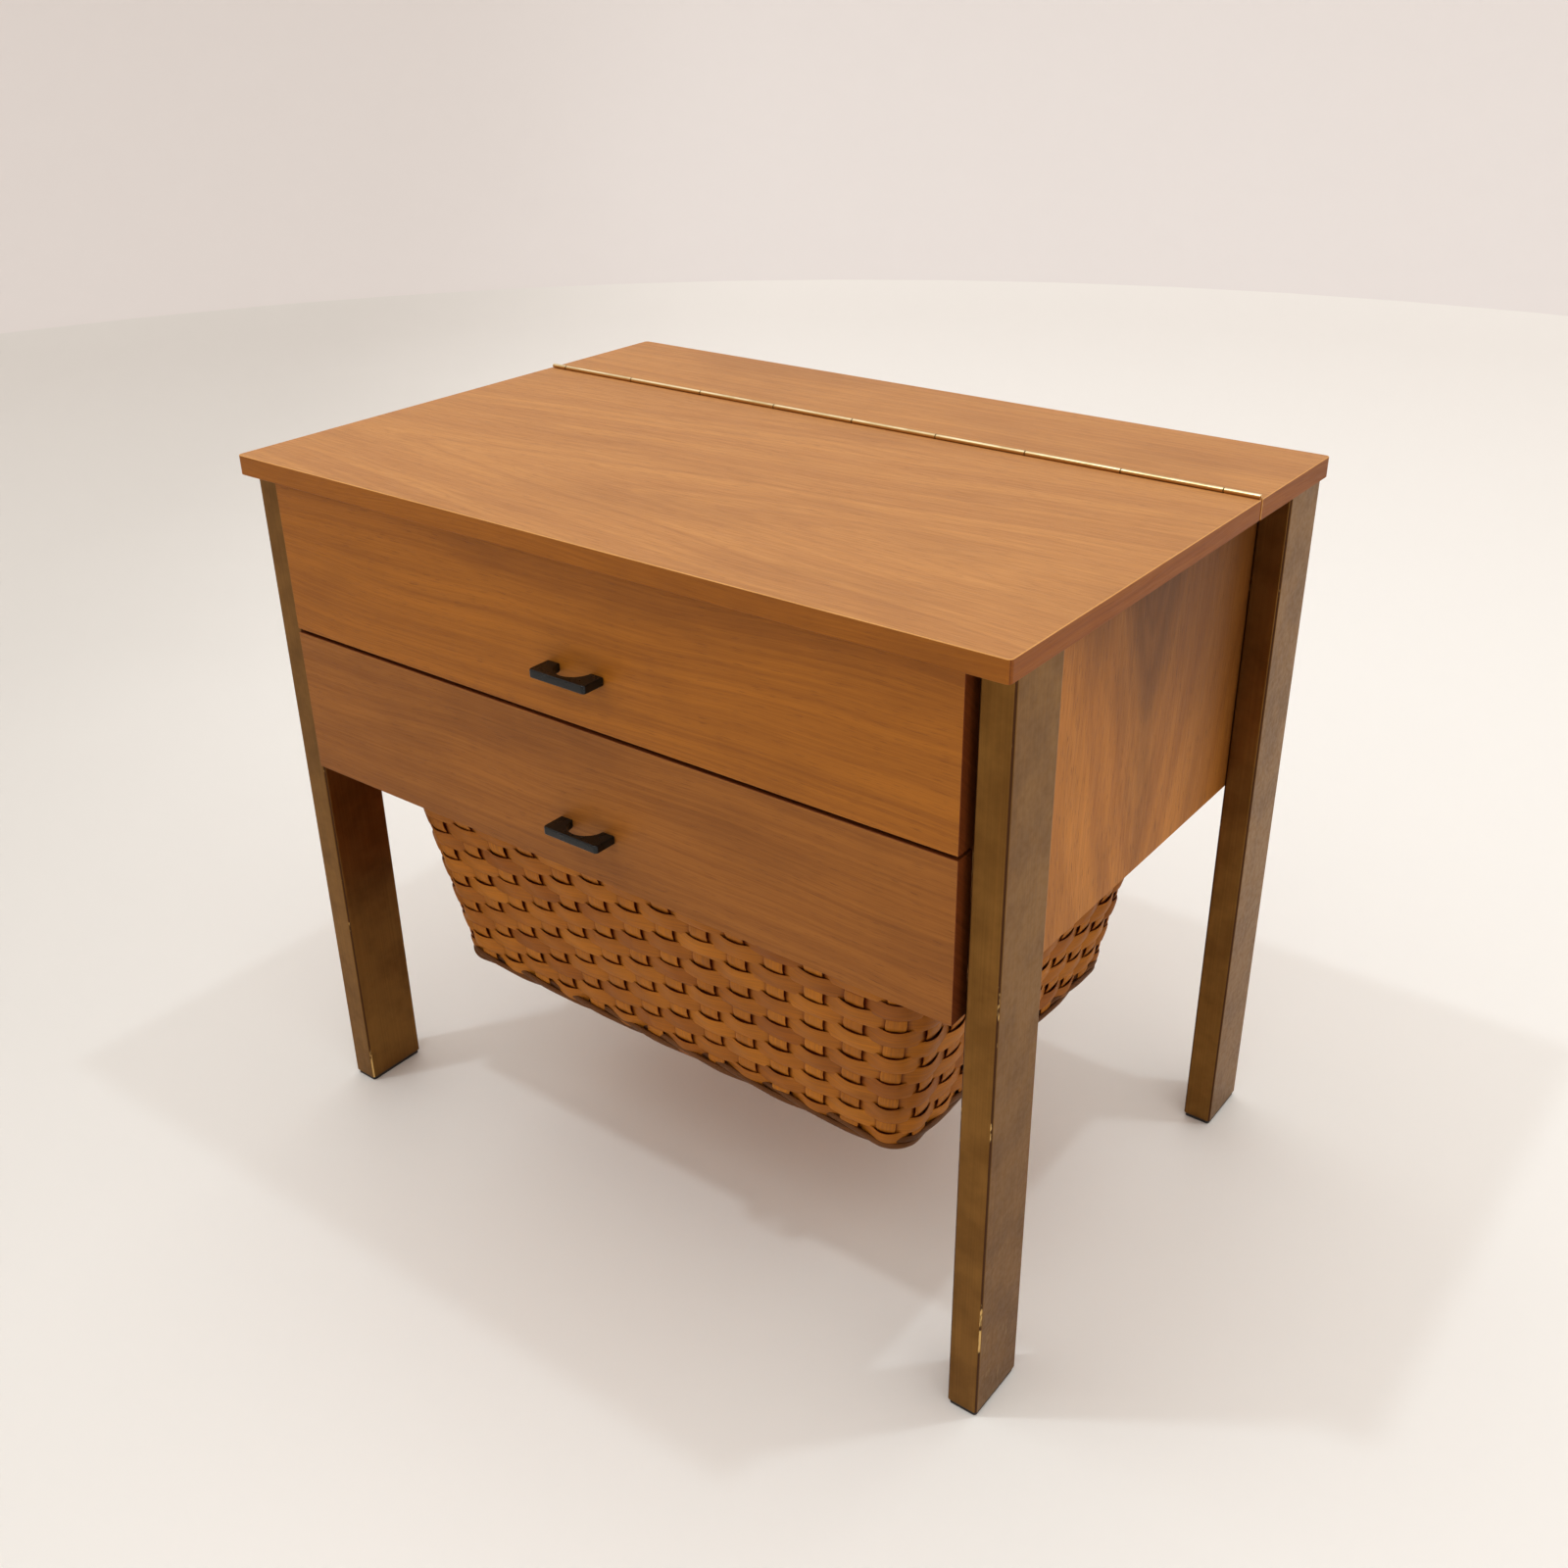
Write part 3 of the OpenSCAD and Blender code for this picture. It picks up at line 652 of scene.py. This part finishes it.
class Weave:
    """Collects swept solids, with what each of their points knows, into one mesh."""

    def __init__(self):
        self.points, self.faces = [], []
        # depth holds painted shade, from 0 to 1
        self.facts = {"fibre": [], "tint": [], "depth": []}
        self.count = 0

    def add(self, rings, loop, fibre, tint, depth):
        """rings is an array of rings of points. loop joins the last ring to the first. fibre is
        each point's place along and across the splint, tint its tone, and depth 0 to 1 how much
        painted shade it takes for lying deep in the weave."""
        rows, size = rings.shape[:2]
        index = np.arange(rows * size).reshape(rows, size) + self.count
        here, there = (index, np.roll(index, -1, 0)) if loop else (index[:-1], index[1:])
        quads = np.stack([here, np.roll(here, -1, 1), np.roll(there, -1, 1), there], axis=-1)
        self.faces += quads.reshape(-1, 4).tolist()
        if not loop:
            self.faces += [index[0][::-1].tolist(), index[-1].tolist()]
        self.points.append(rings.reshape(-1, 3))
        shape = (rows, size)
        self.facts["fibre"].append(np.broadcast_to(fibre, shape + (3,)).reshape(-1, 3))
        self.facts["tint"].append(np.broadcast_to(tint, shape).reshape(-1))
        self.facts["depth"].append(np.broadcast_to(depth, shape).reshape(-1))
        self.count += rows * size

    def build(self, name, material, nodes=()):
        mesh = bpy.data.meshes.new(name)
        mesh.from_pydata(np.concatenate(self.points).tolist(), [], self.faces)
        for key, kind, field in (
            ("fibre", "FLOAT_VECTOR", "vector"), ("tint", "FLOAT", "value"),
            ("depth", "FLOAT", "value"),
        ):
            layer = mesh.attributes.new(key, kind, "POINT")
            values = np.concatenate(self.facts[key]).astype(np.float32)
            layer.data.foreach_set(field, values.ravel())
        work = bmesh.new()
        work.from_mesh(mesh)
        bmesh.ops.recalc_face_normals(work, faces=work.faces)
        work.to_mesh(mesh)
        work.free()
        mesh.materials.append(material)
        smooth_by_angle(mesh, 50)
        piece = bpy.data.objects.new(name, mesh)
        bpy.context.scene.collection.objects.link(piece)
        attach(piece, BODY_OF["basket"])
        if nodes:
            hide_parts(*nodes)


# Across a splint from edge to edge: its outer face, then its inner face
FACE = np.array([-1.0, -0.82, -0.4, 0.0, 0.4, 0.82, 1.0])
ACROSS = np.concatenate([FACE, FACE[::-1]])
FACING = np.concatenate([np.ones(len(FACE)), -np.ones(len(FACE))])
EDGE_THIN = np.where(np.abs(ACROSS) > 0.99, 0.4, 1.0)


def soft_power(value, power):
    """A power that keeps the sign."""
    return np.sign(value) * np.abs(value) ** power


def weaver(weave, row):
    """One row of splint. It passes outside a stake and inside the next, all the way round."""
    place = np.arange(STAKES * STEPS_PER_STAKE) / STEPS_PER_STAKE
    wave = -np.cos(np.pi * (place + row))
    span = np.round(place).astype(int) % STAKES
    puff = rng.uniform(0.86, 1.14, STAKES)[span]
    sag = rng.normal(0, 0.25 * MM, STAKES)[span] * np.abs(wave)
    depth = BULGE * soft_power(wave, 1.1) * np.where(wave > 0, puff, 1.0)
    reach = PITCH / 2 * (1.16 - 0.07 * wave ** 2 + 0.02 * wave)
    middle = FIRST_ROW + (row + 0.5) * PITCH + sag
    # crown is how far both edges fall back, and lean how far the upper edge stands out
    crown = 0.45 * MM * ACROSS[None, :] ** 2 * wave[:, None]
    lean = MM * ACROSS[None, :] * (0.95 * np.maximum(wave, 0)[:, None] - 0.6)
    half = (WEAVER_HALF_THICK * FACING * EDGE_THIN)[None, :]
    out = WALL_MIDDLE + depth[:, None] + half - crown + lean
    up = middle[:, None] + reach[:, None] * ACROSS[None, :]
    turn = (place[:, None] + STAKE_SHIFT) / STAKES
    rings = basket_point(turn, up, out)
    fibre = together(
        place[:, None] * STAKE_SPACING, reach[:, None] * ACROSS[None, :], row * 0.731
    )
    # painted shade on the faces of the row that lie inside the weave: the outer face where the row
    # passes behind a stake, the inner face where it passes in front
    inner_face_shade = ease((-wave[:, None] * FACING[None, :] - 0.5) / 0.3)
    tints = 0.5 + 0.5 * np.sin(place * 0.9 + row * 2.1) * np.cos(place * 0.37 + row)
    weave.add(rings, True, fibre, tints[:, None], inner_face_shade)


def stake(weave, number):
    """An upright flat splint. It shows as a square wherever a row passes inside it."""
    up = np.linspace(1 * MM, WALL_HEIGHT - 4 * MM, 110)[:, None]
    rows_up = (up - FIRST_ROW) / PITCH
    wave = -np.cos(np.pi * (rows_up - 0.5 + number))
    beyond = (rows_up < -0.4) | (rows_up > ROWS + 0.4)
    sway = np.where(beyond, -0.3, -1.1 * wave) * MM
    half = STAKE_HALF_THICK * FACING * EDGE_THIN - 0.2 * MM * ACROSS ** 2
    turn = (number + STAKE_SHIFT) / STAKES
    perimeter = 4 * (sum(BOTTOM_HALF) + 2 * LEAN * up) - 0.03
    rings = basket_point(
        turn + STAKE_HALF * ACROSS[None, :] / perimeter, up, WALL_MIDDLE + sway + half[None, :]
    )
    fibre = together(up, STAKE_HALF * ACROSS, number * 0.37)
    # painted shade on each face of the stake where a row lies against it, fading out in the gaps
    # beside the rows' edges
    painted_crevice_shade = 1 - ease((-wave * FACING[None, :] - 0.1) / 0.3)
    weave.add(rings, False, fibre, rng.uniform(0.0, 0.5), painted_crevice_shade)


def bottom_strip(weave, number, total, along_x):
    """One splint of the plaited bottom, over and under the splints that cross it."""
    inset = 4 * MM
    half_across = (BOTTOM_HALF[1] if along_x else BOTTOM_HALF[0]) - inset
    half_along = (BOTTOM_HALF[0] if along_x else BOTTOM_HALF[1]) - inset
    width = 2 * half_across / total
    middle = -half_across + (number + 0.5) * width
    corner = CORNER_LOW - inset
    past = max(0.0, abs(middle) + width / 2 - (half_across - corner))
    half_length = half_along - corner + math.sqrt(max(corner ** 2 - min(past, corner) ** 2, 0))
    crossings = BOTTOM_STRIPS[0] if along_x else BOTTOM_STRIPS[1]
    other = 2 * half_along / crossings
    run = np.linspace(-half_length, half_length, crossings * 6)[:, None]
    phase = (run + half_along) / other - 0.5
    over = np.cos(np.pi * phase) * (1 if (number % 2 == 0) == along_x else -1)
    t = ACROSS[None, :]
    half = 0.55 * MM * FACING[None, :]
    height = basket_low.z + 3.2 * MM + 0.75 * MM * over + half - 0.2 * MM * t ** 2
    sideways = middle + (width / 2 - 0.1 * MM) * t
    if along_x:
        rings = together(run, MIDDLE_Y + sideways, height)
    else:
        rings = together(sideways, MIDDLE_Y + run, height)
    fibre = together(run, sideways, number * 0.53)
    # painted shade along both edges of each bottom splint, in the gaps between splints
    depth = ease((np.abs(t) - 0.8) / 0.2) * 0.4
    weave.add(rings, False, fibre, rng.uniform(0.2, 1), depth)


def foot_strand(weave, number):
    """One strand of the border that rolls round the foot of the wall."""
    turn = np.linspace(0, 1, 720, endpoint=False)[:, None]
    angle = np.linspace(0, 2 * np.pi, 12, endpoint=False)[None, :]
    twist = 2 * np.pi * (turn * FOOT_TWISTS + number / FOOT_STRANDS)
    wobble = 1 + 0.1 * np.sin(2 * np.pi * (turn * 31 + number * 0.4))
    middle_up = 5.2 * MM + 2.6 * MM * np.cos(twist)
    middle_out = -2.3 * MM + 2.2 * MM * np.sin(twist)
    up = middle_up + 2.5 * MM * wobble * np.cos(angle)
    out = middle_out + 1.7 * MM * wobble * np.sin(angle)
    rings = basket_point(turn, up, out)
    fibre = together(turn * FOOT_LENGTH, 6 * MM * angle / 6.28, number * 1.7)
    # painted shade on the side of each strand that turns towards the middle of the border, where
    # the strands press together
    depth = 0.75 * ease((-np.sin(angle) * np.sin(twist) + 0.1) / 0.9)
    weave.add(rings, True, fibre, 0.3 + 0.3 * number / FOOT_STRANDS, depth)


def foot_hoop(weave):
    """A flat hoop inside the border, under the ends of the bottom splints."""
    turn = np.linspace(0, 1, 240, endpoint=False)[:, None]
    out = -10.5 * MM + 7.5 * MM * ACROSS[None, :]
    up = 1.7 * MM + 0.7 * MM * FACING[None, :]
    rings = basket_point(turn, up, out)
    fibre = together(turn * FOOT_LENGTH, out, 0.2)
    # painted shade: the whole hoop is darkened a little, as it lies inside the border
    weave.add(rings, True, fibre, 0.5, 0.2)


def rim_wrap(weave, number):
    """One turn of the lashing over the hoops of the rim."""
    turn_step = 1 / RIM_WRAPS
    across = np.linspace(-1, 1, 7)[:, None]
    angle = np.linspace(0, 2 * np.pi, 20, endpoint=False)[None, :]
    half_out = (rim_high.x - basket_high.x + 5 * MM) / 2
    centre_out = (rim_high.x - basket_high.x - 5 * MM) / 2
    crown = 1 - 0.14 * across ** 2
    square = 3.2
    radius = (np.abs(np.cos(angle)) ** square + np.abs(np.sin(angle)) ** square) ** (-1 / square)
    out = centre_out + half_out * 0.97 * crown * radius * np.cos(angle)
    up = WALL_HEIGHT + RIM_HEIGHT / 2 + RIM_HEIGHT / 2 * 0.95 * crown * radius * np.sin(angle)
    slant = 0.28 * np.cos(angle)
    turn = (number + 0.5 + 0.49 * across + slant) * turn_step
    rings = basket_point(turn, up, out)
    fibre = together(angle * 6 * MM, across * 6 * MM, number * 0.41)
    # painted shade along both edges of each turn of lashing, in the gaps between turns
    depth = 0.45 * ease((np.abs(across) - 0.7) / 0.3)
    weave.add(rings, False, fibre, rng.uniform(0, 1), depth)


def make_basket():
    """The whole basket, in five pieces that stand for the CAD tub and its rim."""
    wall = Weave()
    for row in range(ROWS):
        weaver(wall, row)
    wall.build("basket_weavers", SPLINT, ["basket"])
    uprights = Weave()
    for number in range(STAKES):
        stake(uprights, number)
    uprights.build("basket_stakes", SPLINT)
    bottom = Weave()
    for along_x in (True, False):
        total = BOTTOM_STRIPS[1] if along_x else BOTTOM_STRIPS[0]
        for number in range(total):
            bottom_strip(bottom, number, total, along_x)
    bottom.build("basket_bottom", SPLINT)
    foot = Weave()
    for number in range(FOOT_STRANDS):
        foot_strand(foot, number)
    foot_hoop(foot)
    foot.build("basket_foot_border", FOOT_SPLINT)
    rim = Weave()
    for number in range(RIM_WRAPS):
        rim_wrap(rim, number)
    rim.build("basket_rim_lashing", SPLINT, ["basket_rim"])


# ---------- room, light and camera ----------

LAMP_SIZE = 0.14
LAMP_COLOUR = (0.79, 0.92, 1.0)
# The camera's bearing from the front, its dip and its roll, in degrees, and where it stands
CAMERA_ANGLES = (37.03, 27.25, -0.61)
CAMERA_PLACE = (0.6473, -0.8298, 0.8329)


def make_ground():
    """A pale floor that sweeps up into a pale backdrop far from the table."""
    reach, sweep, height = 4.2, 1.2, 3.0
    steps = 72
    profile = [(0.0, 0.0), (reach - sweep, 0.0)]
    profile += [
        (reach - sweep + sweep * math.sin(a), sweep - sweep * math.cos(a))
        for a in np.linspace(0.1, math.pi / 2, 12)
    ]
    profile.append((reach, height))
    points = [(0, 0, 0)]
    faces = []
    for k in range(steps):
        swing = 2 * math.pi * k / steps
        points += [(r * math.cos(swing), r * math.sin(swing), z) for r, z in profile[1:]]
    size = len(profile) - 1
    for k in range(steps):
        a, b = 1 + k * size, 1 + (k + 1) % steps * size
        faces.append((0, a, b))
        faces += [(a + i, a + i + 1, b + i + 1, b + i) for i in range(size - 1)]
    mesh = bpy.data.meshes.new("ground")
    mesh.from_pydata(points, [], faces)
    for face in mesh.polygons:
        face.use_smooth = True
        face.material_index = int(face.center.z > 0.05)
    # each surface's two tones are the ends of its painted falloff of light towards the left
    mesh.materials.append(pale_ground("pale_floor", tone(243, 240, 236), tone(220, 216, 211), 0.5))
    mesh.materials.append(pale_ground("pale_wall", tone(236, 231, 229), tone(227, 221, 218), 0.7))
    ground = bpy.data.objects.new("ground", mesh)
    bpy.context.scene.collection.objects.link(ground)


def ceiling_lamp(name, place, power):
    """A small round lamp that shines towards the floor under the table."""
    data = bpy.data.lights.new(name, "AREA")
    data.shape = "DISK"
    data.size = LAMP_SIZE
    data.energy = power
    data.color = LAMP_COLOUR
    lamp = bpy.data.objects.new(name, data)
    lamp.location = place
    lamp.rotation_euler = Vector(place).to_track_quat("Z", "Y").to_euler()
    bpy.context.scene.collection.objects.link(lamp)


def make_light():
    """Warm light from all round and two cooler ceiling lamps that cast the soft shadows."""
    world = bpy.data.worlds.new("room")
    bpy.context.scene.world = world
    world.use_nodes = True
    sky = world.node_tree.nodes["Background"]
    sky.inputs["Color"].default_value = (1.0, 0.968, 0.928, 1.0)
    sky.inputs["Strength"].default_value = 1.12
    ceiling_lamp("lamp_rear_right", (0.92, 0.53, 3.74), 13.6)
    ceiling_lamp("lamp_front_left", (-0.80, -0.94, 3.31), 14.6)
    bpy.context.scene.view_settings.view_transform = "Standard"
    bpy.context.scene.view_settings.gamma = 0.87


def make_camera():
    """A camera that sees the table from the front right, above its top."""
    swing, tilt, roll = (math.radians(a) for a in CAMERA_ANGLES)
    forward = Vector((
        -math.sin(swing) * math.cos(tilt), math.cos(swing) * math.cos(tilt), -math.sin(tilt)
    ))
    level = Vector((math.cos(swing), math.sin(swing), 0))
    upright = level.cross(forward)
    right = level * math.cos(roll) + upright * math.sin(roll)
    above = upright * math.cos(roll) - level * math.sin(roll)
    data = bpy.data.cameras.new("camera")
    data.sensor_width = 36
    data.lens = 37.24
    data.shift_x = -0.0107
    data.shift_y = -0.0096
    camera = bpy.data.objects.new("camera", data)
    turned = Matrix((right, above, -forward)).transposed()
    camera.matrix_world = Matrix.Translation(CAMERA_PLACE) @ turned.to_4x4()
    bpy.context.scene.collection.objects.link(camera)
    bpy.context.scene.camera = camera


make_camera()
make_light()
make_ground()
finish_wood_and_legs()
paint_cad_nodes()
make_basket()
